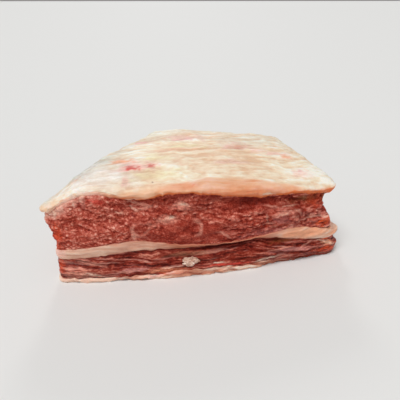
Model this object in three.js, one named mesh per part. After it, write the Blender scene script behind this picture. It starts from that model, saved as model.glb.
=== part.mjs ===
// Raw beef belly block: a cut piece of belly lying fat side up.
// Five layers run through the whole block, and a scrap of fat sticks to its front.
// Millimetres, +Z up, +X along the long front cut.

import {
  Box3,
  CatmullRomCurve3,
  Group,
  MathUtils,
  Mesh,
  MeshStandardMaterial,
  SphereGeometry,
  Vector3,
} from "three";

// The plan: corners in order round the block from the front left, and how far each side
// from one corner to the next bows out.
const CORNERS = [[-118, -43], [113, -47], [87, 40], [-23, 70]];
const SIDE_BOW = [13, 2, 3, -3];
const LEFT_SIDE = 3;
const CORNER_SHOULDER = 7;
const BOW_STATIONS = [0.3, 0.5, 0.7];
const HEART = new Vector3(4, -4, 0);

// Heights of the layers' boundaries along the front cut, at stations STATION_STEP apart in x,
// and the level that each boundary settles to at the back.
const FIRST_STATION = -110;
const STATION_STEP = 30;
const BEYOND_STATIONS = 0.2;
const BOUNDARIES = {
  baseTop: { front: [3.4, 3, 3.6, 6.6, 5.6, 5, 2.6, 2.4], back: 4 },
  seamUnder: { front: [18.6, 21, 24.3, 24.8, 24.8, 26.4, 20.8, 16.2], back: 21 },
  seamTop: { front: [26.9, 30.5, 33.8, 28.6, 26.8, 28.9, 32, 26], back: 27 },
  capUnder: { front: [64.8, 69.2, 64.8, 68.2, 64.2, 60.4, 59.4, 56], back: 66 },
  capEdge: { front: [71, 75, 75, 74.8, 73.2, 70.6, 67, 64], back: 78.4 },
};
const FRONT_Y = -50;
const BACK_Y = 45;
const SWELL = 0.5;

// The cap swells to a low crown away from the sides, and slumps over the left side near its tip.
const CROWN = { rise: 7, reach: 20 };
const SLUMP = { depth: 8.5, reach: 30, start: 70, full: 112 };

// How far each boundary's rim stands out from the plan at the left, right, front and back.
const RIMS = {
  floor: { left: -4.8, right: -2.6, front: -0.8, back: -1 },
  baseTop: { left: -4, right: -1, front: 0.2, back: 0 },
  seamUnder: { left: -3.6, right: -6, front: -1.6, back: -1 },
  seamTop: { left: -4, right: -9, front: -0.4, back: -1 },
  capUnder: { left: -1, right: -20.5, front: -2.6, back: -2 },
  capEdge: { left: -2.6, right: -13, front: -4, back: -3 },
};

// Towards the right, the front's lowest edge draws back under the block, up to near the corner.
const TUCK = { boundaries: ["floor", "baseTop"], depth: 3.2, start: 38, full: 60, fade: 90, end: 108 };
const TUCK_FACING = [0.3, 0.8];
const TUCK_CURVE = 4;

// Each layer from the floor up: its boundaries, how far its side bulges, how far that side
// sways out below and in above, the depth of its relief, and its rows of faces.
const LAYERS = [
  {
    name: "base_fat",
    under: "floor",
    over: "baseTop",
    bulge: { left: 0.8, right: 1, front: 0.8, back: 0.8 },
    sway: { left: 0, right: 0, front: 0, back: 0 },
    relief: 0.7,
    wallRows: 2,
    color: 0xc99a80,
    roughness: 0.45,
  },
  {
    name: "lower_lean",
    under: "baseTop",
    over: "seamUnder",
    bulge: { left: 0.8, right: 5, front: 0.8, back: 0.8 },
    sway: { left: 0.3, right: 0.6, front: 0.3, back: 0.3 },
    relief: 0.8,
    wallRows: 5,
    color: 0x7e3a30,
    roughness: 0.4,
  },
  {
    name: "fat_seam",
    under: "seamUnder",
    over: "seamTop",
    bulge: { left: 1, right: 9, front: 1, back: 1 },
    sway: { left: 0, right: 0, front: 0, back: 0 },
    relief: 0.3,
    wallRows: 3,
    color: 0xc89a82,
    roughness: 0.45,
  },
  {
    name: "upper_lean",
    under: "seamTop",
    over: "capUnder",
    bulge: { left: 1, right: -4.5, front: 0.6, back: 1 },
    sway: { left: -1.6, right: 4.4, front: 0.8, back: 0.6 },
    relief: 0.9,
    wallRows: 8,
    color: 0x99493c,
    roughness: 0.4,
  },
  {
    name: "fat_cap",
    under: "capUnder",
    over: "capEdge",
    bulge: { left: 5, right: 8.4, front: 3.6, back: 3.6 },
    sway: { left: 0, right: 0, front: 0, back: 0 },
    relief: 0.5,
    wallRows: 6,
    color: 0xe5d7c2,
    roughness: 0.5,
  },
];
const BULGE_FULLNESS = 0.7;

// Faces: columns round the block, rings across a hidden boundary and rings across the cap's top.
const COLUMNS = 96;
const HIDDEN_RINGS = [0, 0.45, 0.8, 1];
const TOP_RINGS = [0, 0.16, 0.32, 0.48, 0.62, 0.75, 0.86, 0.94, 1];
const GAP = 0.3;

// The scrap of fat on the lower lean's front.
const SCRAP = {
  column: 0.172,
  height: 0.42,
  length: 12.6,
  width: 7.6,
  thickness: 2.2,
  clearance: 0.5,
  columns: 24,
  rows: 8,
  lobes: [
    { count: 3, depth: 0.12, phase: 1 },
    { count: 5, depth: 0.1, phase: 2 },
  ],
  color: 0xb59180,
  roughness: 0.45,
};

// Relief: waves that get shorter one by one, each headed a golden angle on from the last.
const GOLDEN_ANGLE = Math.PI * (3 - Math.sqrt(5));
const WAVE_COUNT = 7;
const LONGEST_WAVE = 52;
const WAVE_SHRINK = 0.8;
const WAVE_CLIMB = 2;
const CLIMB_TURNS = 5;
const LEVEL_SEED = 1;
const SIDE_SEED = 2;

function waves(point, seed) {
  let sum = 0;
  for (let i = 0; i < WAVE_COUNT; i += 1) {
    const heading = GOLDEN_ANGLE * (i + seed);
    const climb = WAVE_CLIMB * Math.sin(CLIMB_TURNS * heading);
    const reach = point.x * Math.cos(heading) + point.y * Math.sin(heading) + point.z * climb;
    const wavelength = LONGEST_WAVE * WAVE_SHRINK ** i;
    sum += Math.sin((2 * Math.PI * reach) / wavelength + heading * heading);
  }
  return sum / Math.sqrt(WAVE_COUNT);
}

// The smooth curve through heights at the stations.
function throughStations(heights, x) {
  const last = heights.length - 1;
  const station = (x - FIRST_STATION) / STATION_STEP;
  const place = MathUtils.clamp(station, -BEYOND_STATIONS, last + BEYOND_STATIONS);
  const i = MathUtils.clamp(Math.floor(place), 0, last - 1);
  const t = place - i;
  const before = i > 0 ? heights[i - 1] : 2 * heights[0] - heights[1];
  const after = i + 2 <= last ? heights[i + 2] : 2 * heights[last] - heights[last - 1];
  const slopeStart = (heights[i + 1] - before) / 2;
  const slopeEnd = (after - heights[i]) / 2;
  const climb = heights[i + 1] - heights[i];
  const square = 3 * climb - 2 * slopeStart - slopeEnd;
  const cube = slopeStart + slopeEnd - 2 * climb;
  return heights[i] + t * (slopeStart + t * (square + t * cube));
}

// How far a place lies inside the straight line between a side's corners.
function inset(side, x, y) {
  const [startX, startY] = CORNERS[side];
  const [endX, endY] = CORNERS[(side + 1) % CORNERS.length];
  const length = Math.hypot(endX - startX, endY - startY);
  return ((endX - startX) * (y - startY) - (endY - startY) * (x - startX)) / length;
}

function crownAt(x, y) {
  const fade = (side) => 1 - Math.exp(-Math.max(inset(side, x, y), 0) / CROWN.reach);
  return CROWN.rise * fade(0) * fade(1) * fade(2) * fade(3);
}

function slumpAt(x, y) {
  const towardsTip = MathUtils.smoothstep(-x, SLUMP.start, SLUMP.full);
  const inside = MathUtils.smoothstep(inset(LEFT_SIDE, x, y), 0, SLUMP.reach);
  return SLUMP.depth * towardsTip * (1 - inside);
}

function boundaryHeight(name, x, y) {
  if (name === "floor") return 0;
  const { front, back } = BOUNDARIES[name];
  const depth = MathUtils.smoothstep(y, FRONT_Y, BACK_Y);
  let height = MathUtils.lerp(throughStations(front, x), back, depth);
  height += SWELL * depth * waves(new Vector3(x, y, 0), LEVEL_SEED);
  if (name.startsWith("cap")) height -= slumpAt(x, y);
  if (name === "capEdge") height += crownAt(x, y);
  return height;
}

// A step out of the block by the distances given for its left, right, front and back.
function stepOut(sides, normal) {
  const alongX = normal.x > 0 ? sides.right : sides.left;
  const alongY = normal.y > 0 ? sides.back : sides.front;
  return new Vector3(alongX * normal.x, alongY * normal.y, 0);
}

function planCurve() {
  const points = [];
  CORNERS.forEach(([startX, startY], i) => {
    const [endX, endY] = CORNERS[(i + 1) % CORNERS.length];
    const alongX = endX - startX;
    const alongY = endY - startY;
    const length = Math.hypot(alongX, alongY);
    const shoulder = CORNER_SHOULDER / length;
    for (const t of [shoulder, ...BOW_STATIONS, 1 - shoulder]) {
      const bow = (SIDE_BOW[i] * 4 * t * (1 - t)) / length;
      points.push(new Vector3(startX + alongX * t + bow * alongY, startY + alongY * t - bow * alongX, 0));
    }
  });
  const curve = new CatmullRomCurve3(points, true);
  curve.arcLengthDivisions = 1000;
  return curve;
}

const PLAN = planCurve();

// Where a column stands on the plan, and the way out of the block there.
function planColumn(turn) {
  const point = PLAN.getPointAt(MathUtils.euclideanModulo(turn, 1));
  const along = PLAN.getTangentAt(MathUtils.euclideanModulo(turn, 1));
  return { point, normal: new Vector3(along.y, -along.x, 0) };
}

function tuckAt({ point, normal }) {
  const along = MathUtils.smoothstep(point.x, TUCK.start, TUCK.full);
  const corner = MathUtils.smoothstep(point.x, TUCK.fade, TUCK.end);
  return TUCK.depth * along * (1 - corner) * MathUtils.smoothstep(-normal.y, ...TUCK_FACING);
}

function rimPoint(boundary, column) {
  const rim = column.point.clone().add(stepOut(RIMS[boundary], column.normal));
  if (TUCK.boundaries.includes(boundary)) rim.addScaledVector(column.normal, -tuckAt(column));
  rim.z = boundaryHeight(boundary, rim.x, rim.y);
  return rim;
}

// A point on a layer's side, from its lower rim at rise 0 to its upper rim at rise 1.
function sidePoint(layer, column, rise) {
  const lower = rimPoint(layer.under, column);
  const upper = rimPoint(layer.over, column);
  if (layer.under !== "floor") lower.z += GAP / 2;
  if (layer.over !== "capEdge") upper.z -= GAP / 2;
  const point = lower.lerp(upper, rise);
  const fullness = Math.sin(Math.PI * rise) ** BULGE_FULLNESS;
  const relief = layer.relief * waves(point, SIDE_SEED) * fullness;
  if (TUCK.boundaries.includes(layer.under) && !TUCK.boundaries.includes(layer.over)) {
    const drop = 1 - rise;
    point.addScaledVector(column.normal, tuckAt(column) * (drop - drop ** TUCK_CURVE));
  }
  point.addScaledVector(stepOut(layer.bulge, column.normal), fullness);
  point.addScaledVector(stepOut(layer.sway, column.normal), Math.sin(2 * Math.PI * rise));
  return point.addScaledVector(column.normal, relief);
}

function acrossBoundary(boundary, rim, ring, lift) {
  const point = HEART.clone().lerp(rim, ring);
  point.z = boundaryHeight(boundary, point.x, point.y) + lift;
  return point;
}

// A sphere's rings, re-placed row by row, make every solid a single closed skin.
function wrapRings(columns, rows) {
  const geometry = new SphereGeometry(1, columns, rows.length - 1);
  const position = geometry.getAttribute("position");
  rows.forEach((placeVertex, row) => {
    for (let i = 0; i <= columns; i += 1) {
      const { x, y, z } = placeVertex(i / columns);
      position.setXYZ(row * (columns + 1) + i, x, y, z);
    }
  });
  geometry.deleteAttribute("uv");
  geometry.computeVertexNormals();
  return geometry;
}

// Splits the faces of some rows along their other diagonal, as the surface that they face is split.
function flipDiagonals(geometry, columns, firstRow, lastRow) {
  const index = geometry.getIndex();
  for (let row = firstRow; row <= lastRow; row += 1) {
    for (let column = 0; column < columns; column += 1) {
      const start = 3 * columns * (2 * row - 1) + 6 * column;
      index.setX(start + 2, index.getX(start + 4));
      index.setX(start + 3, index.getX(start));
    }
  }
}

function layerRows(layer) {
  const rows = [];
  const isCap = layer.over === "capEdge";
  const drop = isCap ? 0 : -GAP / 2;
  for (const ring of isCap ? TOP_RINGS : HIDDEN_RINGS) {
    rows.push((turn) => acrossBoundary(layer.over, rimPoint(layer.over, planColumn(turn)), ring, drop));
  }
  for (let row = layer.wallRows - 1; row > 0; row -= 1) {
    rows.push((turn) => sidePoint(layer, planColumn(turn), row / layer.wallRows));
  }
  const lift = layer.under === "floor" ? 0 : GAP / 2;
  for (const ring of [...HIDDEN_RINGS].reverse()) {
    rows.push((turn) => acrossBoundary(layer.under, rimPoint(layer.under, planColumn(turn)), ring, lift));
  }
  return rows;
}

function finish({ color, roughness }) {
  return new MeshStandardMaterial({ color, roughness, metalness: 0 });
}

function makeLayer(layer) {
  const rows = layerRows(layer);
  const geometry = wrapRings(COLUMNS, rows);
  flipDiagonals(geometry, COLUMNS, rows.length - HIDDEN_RINGS.length, rows.length - 3);
  const mesh = new Mesh(geometry, finish(layer));
  mesh.name = layer.name;
  return mesh;
}

// The scrap: a ragged flake whose back follows the lower lean's side.
function makeScrap() {
  const lean = LAYERS.find(({ name }) => name === "lower_lean");
  const planLength = PLAN.getLength();
  const middle = planColumn(SCRAP.column);
  const leanHeight = rimPoint(lean.over, middle).z - rimPoint(lean.under, middle).z;
  const rows = [];
  for (let row = 0; row <= SCRAP.rows; row += 1) {
    const tilt = (Math.PI * row) / SCRAP.rows;
    rows.push((turn) => {
      const around = 2 * Math.PI * turn;
      const ragged = SCRAP.lobes.reduce(
        (sum, { count, depth, phase }) => sum + depth * Math.sin(count * around + phase), 1);
      const spread = ragged * Math.sin(tilt);
      const along = (SCRAP.length / 2) * spread * Math.cos(around);
      const up = (SCRAP.width / 2) * spread * Math.sin(around);
      const column = planColumn(SCRAP.column + along / planLength);
      const out = SCRAP.clearance + SCRAP.thickness * Math.max(Math.cos(tilt), 0);
      return sidePoint(lean, column, SCRAP.height + up / leanHeight).addScaledVector(column.normal, out);
    });
  }
  const mesh = new Mesh(wrapRings(SCRAP.columns, rows), finish(SCRAP));
  mesh.name = "fat_scrap";
  return mesh;
}

// The origin is at the middle of the block's box, on the surface that the block lies on.
function standAtOrigin(group) {
  const box = new Box3().setFromObject(group, true);
  const middle = box.getCenter(new Vector3());
  group.position.set(-middle.x, -middle.y, -box.min.z);
  return group;
}

const block = new Group();
LAYERS.forEach((layer) => block.add(makeLayer(layer)));
block.add(makeScrap());

export default standAtOrigin(block);
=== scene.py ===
"""Raw beef belly block: the skins, marks and materials of its five layers and its scrap of fat.

The form is worked out in millimetres, in the plan's own coordinates, from the named sizes that the
solids have. Each layer is one closed skin, made of rings from the middle of its top to the middle
of its underside, with fine relief on all that shows.
"""

import itertools
import math

import bpy
import numpy as np
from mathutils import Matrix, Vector


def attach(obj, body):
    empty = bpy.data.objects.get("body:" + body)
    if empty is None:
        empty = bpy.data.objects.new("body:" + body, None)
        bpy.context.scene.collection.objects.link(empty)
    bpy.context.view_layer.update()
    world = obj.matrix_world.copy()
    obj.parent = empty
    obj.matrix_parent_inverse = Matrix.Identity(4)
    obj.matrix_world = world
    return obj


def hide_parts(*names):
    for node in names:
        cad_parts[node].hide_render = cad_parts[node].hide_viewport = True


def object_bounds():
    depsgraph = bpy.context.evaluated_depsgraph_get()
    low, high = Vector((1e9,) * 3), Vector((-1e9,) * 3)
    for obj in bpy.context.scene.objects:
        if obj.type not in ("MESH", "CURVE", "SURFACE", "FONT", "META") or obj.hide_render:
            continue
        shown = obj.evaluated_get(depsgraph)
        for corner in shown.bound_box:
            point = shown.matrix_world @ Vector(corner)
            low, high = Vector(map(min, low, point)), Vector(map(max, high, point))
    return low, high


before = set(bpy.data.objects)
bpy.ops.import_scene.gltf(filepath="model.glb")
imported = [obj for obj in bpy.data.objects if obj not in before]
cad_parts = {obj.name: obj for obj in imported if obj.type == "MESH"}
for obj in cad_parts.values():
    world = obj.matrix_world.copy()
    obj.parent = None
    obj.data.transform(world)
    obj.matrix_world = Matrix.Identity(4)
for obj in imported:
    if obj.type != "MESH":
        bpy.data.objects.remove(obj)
CAD_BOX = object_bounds()
MM = 0.001

# ---------------- the form's sizes

# The plan: its corners, how far each side bows out, how near a corner its rounding starts, where
# the outline's points stand along a side, and the middle that all rings shrink to.
CORNERS = np.array([(-118.0, -43.0), (113.0, -47.0), (87.0, 40.0), (-23.0, 70.0)])
SIDE_BOW = (13, 2, 3, -3)
LEFT_SIDE = 3
CORNER_SHOULDER = 7
BOW_STATIONS = (0.3, 0.5, 0.7)
HEART = np.array([4.0, -4.0])
SPAN_SAMPLES = 200
HALF_TURN_STEP = 0.0005

# Each boundary's heights at stations along the front, and its height at the back.
FIRST_STATION = -110
STATION_STEP = 30
BEYOND_STATIONS = 0.2
BOUNDARIES = {
    "baseTop": ((3.4, 3, 3.6, 6.6, 5.6, 5, 2.6, 2.4), 4),
    "seamUnder": ((18.6, 21, 24.3, 24.8, 24.8, 26.4, 20.8, 16.2), 21),
    "seamTop": ((26.9, 30.5, 33.8, 28.6, 26.8, 28.9, 32, 26), 27),
    "capUnder": ((64.8, 69.2, 64.8, 68.2, 64.2, 60.4, 59.4, 56), 66),
    "capEdge": ((71, 75, 75, 74.8, 73.2, 70.6, 67, 64), 78.4),
}
FRONT_Y = -50
BACK_Y = 45
SWELL = 0.5
CROWN_RISE = 7
CROWN_REACH = 20
SLUMP_DEPTH = 8.5
SLUMP_REACH = 30
SLUMP_START = 70
SLUMP_FULL = 112

# How far each boundary's rim stands out at the left, right, front and back.
RIMS = {
    "floor": (-4.8, -2.6, -0.8, -1),
    "baseTop": (-4, -1, 0.2, 0),
    "seamUnder": (-3.6, -6, -1.6, -1),
    "seamTop": (-4, -9, -0.4, -1),
    "capUnder": (-1, -20.5, -2.6, -2),
    "capEdge": (-2.6, -13, -4, -3),
}

# Each layer's boundaries, how far its side bulges and sways at the left, right, front and back,
# the depth of its slow relief and its rows of faces.
LAYERS = {
    "base_fat": dict(
        under="floor", over="baseTop", bulge=(0.8, 1, 0.8, 0.8), sway=(0, 0, 0, 0), relief=0.7, rows=12),
    "lower_lean": dict(
        under="baseTop", over="seamUnder", bulge=(0.8, 5, 0.8, 0.8), sway=(0.3, 0.6, 0.3, 0.3),
        relief=0.8, rows=40),
    "fat_seam": dict(
        under="seamUnder", over="seamTop", bulge=(1, 9, 1, 1), sway=(0, 0, 0, 0), relief=0.3, rows=16),
    "upper_lean": dict(
        under="seamTop", over="capUnder", bulge=(1, -4.5, 0.6, 1), sway=(-1.6, 4.4, 0.8, 0.6),
        relief=0.9, rows=66),
    "fat_cap": dict(
        under="capUnder", over="capEdge", bulge=(5, 8.4, 3.6, 3.6), sway=(0, 0, 0, 0),
        relief=0.5, rows=26),
}
BULGE_FULLNESS = 0.7

# The scrap: where it sits in turns round the block and in shares up the lean, its sizes, and the
# count, depth and phase of its outline's lobes.
SCRAP_COLUMN = 0.172
SCRAP_HEIGHT = 0.42
SCRAP_LENGTH = 12.6
SCRAP_WIDTH = 7.6
SCRAP_THICKNESS = 2.2
SCRAP_CLEARANCE = 0.5
SCRAP_LOBES = ((3, 0.1, 1), (5, 0.08, 2), (9, 0.05, 0.5), (14, 0.03, 3))
SCRAP_SIDES = 96
SCRAP_TILTS = 32

GOLDEN_ANGLE = math.pi * (3 - math.sqrt(5))
WAVE_COUNT = 7
LONGEST_WAVE = 52
WAVE_SHRINK = 0.8
WAVE_CLIMB = 2
CLIMB_TURNS = 5
LEVEL_SEED = 1
SIDE_SEED = 2

# The skins: columns round the block, gap between layers, rings across the cap's top, and the
# hidden rings, each with half the columns of the one outside it.
COLUMNS = 1024
GAP = 0.1
TOP_RINGS = 70
FEWEST_COLUMNS = 16
HIDDEN_RINGS = (1, 0.985, 0.96, 0.9, 0.75, 0.4)

# The share of the way out at which a boundary starts to settle on its frayed rim, and the least
# height that a layer counts for.
SETTLE_START = 0.93
THINNEST = 0.5

# How softly the cap's top rolls over into its side: passes of smoothing, and rows they reach.
ROLL_PASSES = 40
ROLL_ROWS = 9


# ---------------- noise


def smoothstep(value, start, end):
    part = np.clip((value - start) / (end - start), 0, 1)
    return part * part * (3 - 2 * part)


def lerp(start, end, part):
    return start + (end - start) * part


# Large odd numbers that scatter a cell's whole numbers over 32 bits.
CELL_SCATTER = (73856093, 19349663, 83492791)
SEED_SCATTER = 668265263
FIRST_SCATTER = 2246822519
SECOND_SCATTER = 3266489917
ALL_BITS = 0xFFFFFFFF


def lattice(cells, seed):
    """A number from 0 to 1 that is always the same for the same cell of whole numbers."""
    keys = (cells.astype(np.int64) * CELL_SCATTER).sum(axis=-1) + SEED_SCATTER * seed
    keys = (keys & ALL_BITS) * FIRST_SCATTER & ALL_BITS
    keys = (keys ^ (keys >> 15)) * SECOND_SCATTER & ALL_BITS
    return (keys ^ (keys >> 16)) / ALL_BITS


def noise(points, size, seed):
    """Smooth noise from -1 to 1, with swells of about the size given, or of one size an axis."""
    place = points / size
    cell = np.floor(place)
    part = place - cell
    part = part * part * (3 - 2 * part)
    total = np.zeros(len(points))
    for corner in itertools.product((0, 1), repeat=3):
        weight = np.prod(np.where(corner, part, 1 - part), axis=-1)
        total += weight * lattice(cell + corner, seed)
    return 2 * total - 1


def rough(points, size, seed):
    """Noise with two finer layers on it."""
    size = np.asarray(size, float)
    layers = (noise(points, size * 0.5**level, seed + level) * 0.55**level for level in range(3))
    return sum(layers) / 1.4


def warped(points, reach, size, seed):
    """The points, each moved about by noise."""
    shifts = [noise(points, size, seed + axis) for axis in range(3)]
    return points + reach * np.stack(shifts, axis=-1)


def grains(points, size, seed):
    """Cells of about the size given: the distance to the border, and a number for each cell."""
    place = points / size
    cell = np.floor(place)
    nearest = np.full(len(points), np.inf)
    second = nearest.copy()
    own = np.zeros(len(points))
    for step in itertools.product((-1, 0, 1), repeat=3):
        other = cell + step
        centre = other + np.stack([lattice(other, seed + axis) for axis in (1, 2, 3)], axis=-1)
        distance = np.linalg.norm(centre - place, axis=-1)
        closer = distance < nearest
        second = np.where(closer, nearest, np.minimum(second, distance))
        own = np.where(closer, lattice(other, seed), own)
        nearest = np.minimum(nearest, distance)
    return second - nearest, own


# ---------------- the form


def waves(x, y, z, seed):
    total = 0
    for i in range(WAVE_COUNT):
        heading = GOLDEN_ANGLE * (i + seed)
        climb = WAVE_CLIMB * math.sin(CLIMB_TURNS * heading)
        reach = x * math.cos(heading) + y * math.sin(heading) + z * climb
        wavelength = LONGEST_WAVE * WAVE_SHRINK**i
        total = total + np.sin(2 * math.pi * reach / wavelength + heading * heading)
    return total / math.sqrt(WAVE_COUNT)


def through_stations(heights, x):
    """The smooth curve through heights at the stations."""
    known = np.array((2 * heights[0] - heights[1], *heights, 2 * heights[-1] - heights[-2]), float)
    last = len(heights) - 1
    place = np.clip((x - FIRST_STATION) / STATION_STEP, -BEYOND_STATIONS, last + BEYOND_STATIONS)
    i = np.clip(np.floor(place), 0, last - 1).astype(int)
    t = place - i
    before, here, there, after = (known[i + step] for step in range(4))
    slope_start = (there - before) / 2
    slope_end = (after - here) / 2
    square = 3 * (there - here) - 2 * slope_start - slope_end
    cube = slope_start + slope_end - 2 * (there - here)
    return here + t * (slope_start + t * (square + t * cube))


def inset(side, x, y):
    """How far a place lies inside the straight line between a side's corners."""
    start = CORNERS[side]
    along = CORNERS[(side + 1) % len(CORNERS)] - start
    return (along[0] * (y - start[1]) - along[1] * (x - start[0])) / math.hypot(*along)


def boundary_height(name, x, y):
    if name == "floor":
        return np.zeros_like(x)
    front, back = BOUNDARIES[name]
    depth = smoothstep(y, FRONT_Y, BACK_Y)
    height = lerp(through_stations(front, x), back, depth) + SWELL * depth * waves(x, y, 0, LEVEL_SEED)
    if name.startswith("cap"):
        inside = smoothstep(inset(LEFT_SIDE, x, y), 0, SLUMP_REACH)
        height -= SLUMP_DEPTH * smoothstep(-x, SLUMP_START, SLUMP_FULL) * (1 - inside)
    if name == "capEdge":
        fades = [1 - np.exp(-np.maximum(inset(side, x, y), 0) / CROWN_REACH) for side in range(4)]
        height += CROWN_RISE * np.prod(fades, axis=0)
    return height


def plan_outline():
    """The block's outline, finely sampled: how far round each point lies, and the points."""
    knots = []
    for i, start in enumerate(CORNERS):
        along = CORNERS[(i + 1) % len(CORNERS)] - start
        length = math.hypot(*along)
        outward = np.array((along[1], -along[0])) / length
        shoulder = CORNER_SHOULDER / length
        for t in (shoulder, *BOW_STATIONS, 1 - shoulder):
            knots.append(start + along * t + outward * SIDE_BOW[i] * 4 * t * (1 - t))
    here = np.array(knots)
    before, there, after = (np.roll(here, steps, axis=0) for steps in (1, -1, -2))
    spans = [np.sqrt(np.linalg.norm(b - a, axis=1, keepdims=True))
             for a, b in ((before, here), (here, there), (there, after))]
    slope_start = (here - before) / spans[0] - (there - before) / (spans[0] + spans[1])
    slope_start = (slope_start + (there - here) / spans[1]) * spans[1]
    slope_end = (there - here) / spans[1] - (after - here) / (spans[1] + spans[2])
    slope_end = (slope_end + (after - there) / spans[2]) * spans[1]
    t = np.linspace(0, 1, SPAN_SAMPLES, endpoint=False)[None, :, None]
    here, there, slope_start, slope_end = (a[:, None, :] for a in (here, there, slope_start, slope_end))
    square = 3 * (there - here) - 2 * slope_start - slope_end
    cube = slope_start + slope_end - 2 * (there - here)
    points = (here + t * (slope_start + t * (square + t * cube))).reshape(-1, 2)
    points = np.concatenate((points, points[:1]))
    travelled = np.concatenate(([0], np.cumsum(np.linalg.norm(np.diff(points, axis=0), axis=1))))
    return travelled, points


TRAVELLED, OUTLINE = plan_outline()
GIRTH = TRAVELLED[-1]


def plan_columns(turns):
    """Where columns stand on the plan, and the way out of the block there."""
    def place(at):
        return np.stack([np.interp(np.mod(at, 1) * GIRTH, TRAVELLED, OUTLINE[:, k]) for k in (0, 1)], axis=-1)

    along = place(turns + HALF_TURN_STEP) - place(turns - HALF_TURN_STEP)
    along /= np.linalg.norm(along, axis=1, keepdims=True)
    return place(turns), np.stack((along[:, 1], -along[:, 0]), axis=-1)


def step_out(sides, normal):
    """A step out of the block by the distances given for its left, right, front and back."""
    left, right, front, back = sides
    step_x = np.where(normal[:, 0] > 0, right, left) * normal[:, 0]
    step_y = np.where(normal[:, 1] > 0, back, front) * normal[:, 1]
    return np.stack((step_x, step_y), axis=-1)


# How far the layers' borders fray up and down and in and out, and how long the frays are.
FRAYS = {
    "floor": (1.5, 1.1, 6),
    "baseTop": (2.4, 0.8, 9),
    "seamUnder": (0.8, 0.5, 6),
    "seamTop": (0.7, 0.3, 4),
    "capUnder": (1.1, 0.5, 4),
    "capEdge": (0, 0.3, 9),
}

# Towards the right, the front's lowest edge draws back under the block, up to near the corner. It
# starts to where the side faces forward by the first share of TUCK_FACING, and does so fully from
# the second.
TUCKED = ("floor", "baseTop")
TUCK_FACING = (0.3, 0.8)
TUCK_DEPTH = 3.2
TUCK_START = 38
TUCK_FULL = 60
TUCK_FADE = 90
TUCK_END = 108
TUCK_CURVE = 4


def tuck(turns):
    place, normal = plan_columns(turns)
    depth = TUCK_DEPTH * smoothstep(place[:, 0], TUCK_START, TUCK_FULL)
    depth *= smoothstep(-normal[:, 1], *TUCK_FACING)
    depth *= 1 - smoothstep(place[:, 0], TUCK_FADE, TUCK_END)
    return normal * depth[:, None]


def rim_points(boundary, turns):
    place, normal = plan_columns(turns)
    place = place + step_out(RIMS[boundary], normal)
    if boundary in TUCKED:
        place = place - tuck(turns)
    x, y = place.T
    rim = np.stack((x, y, boundary_height(boundary, x, y)), axis=-1)
    height, depth, length = FRAYS[boundary]
    rim[:, 2] = np.maximum(rim[:, 2] + height * rough(rim, length, len(boundary)), 0)
    rim[:, :2] += depth * normal * rough(rim, length, len(boundary) + 5)[:, None]
    return rim, normal


def side_points(layer, turns, rise):
    """Points on a layer's side, from its lower rim at rise 0 to its upper rim at rise 1."""
    lower, normal = rim_points(layer["under"], turns)
    upper, _ = rim_points(layer["over"], turns)
    if layer["under"] != "floor":
        lower[:, 2] += GAP / 2
    if layer["over"] != "capEdge":
        upper[:, 2] -= GAP / 2
    points = lerp(lower, upper, rise)
    fullness = math.sin(math.pi * rise) ** BULGE_FULLNESS
    relief = layer["relief"] * waves(*points.T, SIDE_SEED) * fullness
    if layer["under"] in TUCKED and layer["over"] not in TUCKED:
        points[:, :2] += tuck(turns) * ((1 - rise) - (1 - rise) ** TUCK_CURVE)
    points[:, :2] += step_out(layer["bulge"], normal) * fullness
    points[:, :2] += step_out(layer["sway"], normal) * math.sin(2 * math.pi * rise)
    points[:, :2] += normal * relief[:, None]
    return points


def across_points(boundary, turns, part, lift):
    """Points across a boundary, from the block's heart at part 0 to the boundary's rim at part 1."""
    rim, _ = rim_points(boundary, turns)
    if part == 1:
        return rim + (0, 0, lift)
    x, y = (HEART + (rim[:, :2] - HEART) * part).T
    height = boundary_height(boundary, x, y) + lift
    near_rim = smoothstep(np.full_like(x, part), SETTLE_START, 1)
    settle = near_rim * (rim[:, 2] - boundary_height(boundary, *rim[:, :2].T))
    return np.stack((x, y, height + settle), axis=-1)


# ---------------- skins


def turns_round(count):
    return np.arange(count) / count


def layer_rings(layer):
    """The skin's rings from the top down, each with its rise: over 1 on top, under 0 beneath."""
    rings = []
    if layer["over"] == "capEdge":
        for part in np.linspace(0, 1, TOP_RINGS + 1)[1:]:
            halvings = int(-math.log2(part))
            turns = turns_round(max(COLUMNS >> halvings, FEWEST_COLUMNS))
            rings.append((across_points("capEdge", turns, part, 0), 2 - part))
    else:
        for level in reversed(range(len(HIDDEN_RINGS))):
            part = HIDDEN_RINGS[level]
            turns = turns_round(COLUMNS >> level)
            rings.append((across_points(layer["over"], turns, part, -GAP / 2), 2 - part))
    turns = turns_round(COLUMNS)
    for row in range(layer["rows"] - 1, 0, -1):
        rise = row / layer["rows"]
        rings.append((side_points(layer, turns, rise), rise))
    lift = 0 if layer["under"] == "floor" else GAP / 2
    for level, part in enumerate(HIDDEN_RINGS):
        turns = turns_round(COLUMNS >> level)
        rings.append((across_points(layer["under"], turns, part, lift), part - 1))
    return roll_over(rings) if layer["over"] == "capEdge" else rings


def roll_over(rings):
    """The rings with the fold between top and side made round."""
    near = [i for i, (points, _) in enumerate(rings) if len(points) == COLUMNS]
    block = np.stack([rings[i][0] for i in near])
    rises = np.array([rings[i][1] for i in near])
    fold = int(np.argmin(np.abs(rises - 1)))
    pull = np.exp(-(((np.arange(len(near)) - fold) / ROLL_ROWS) ** 2))[1:-1, None, None]
    for _ in range(ROLL_PASSES):
        block[1:-1] += pull * (block[:-2] + block[2:] - 2 * block[1:-1]) / 4
    softened = list(rings)
    for row, i in enumerate(near):
        softened[i] = (block[row], rises[row])
    return softened


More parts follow.
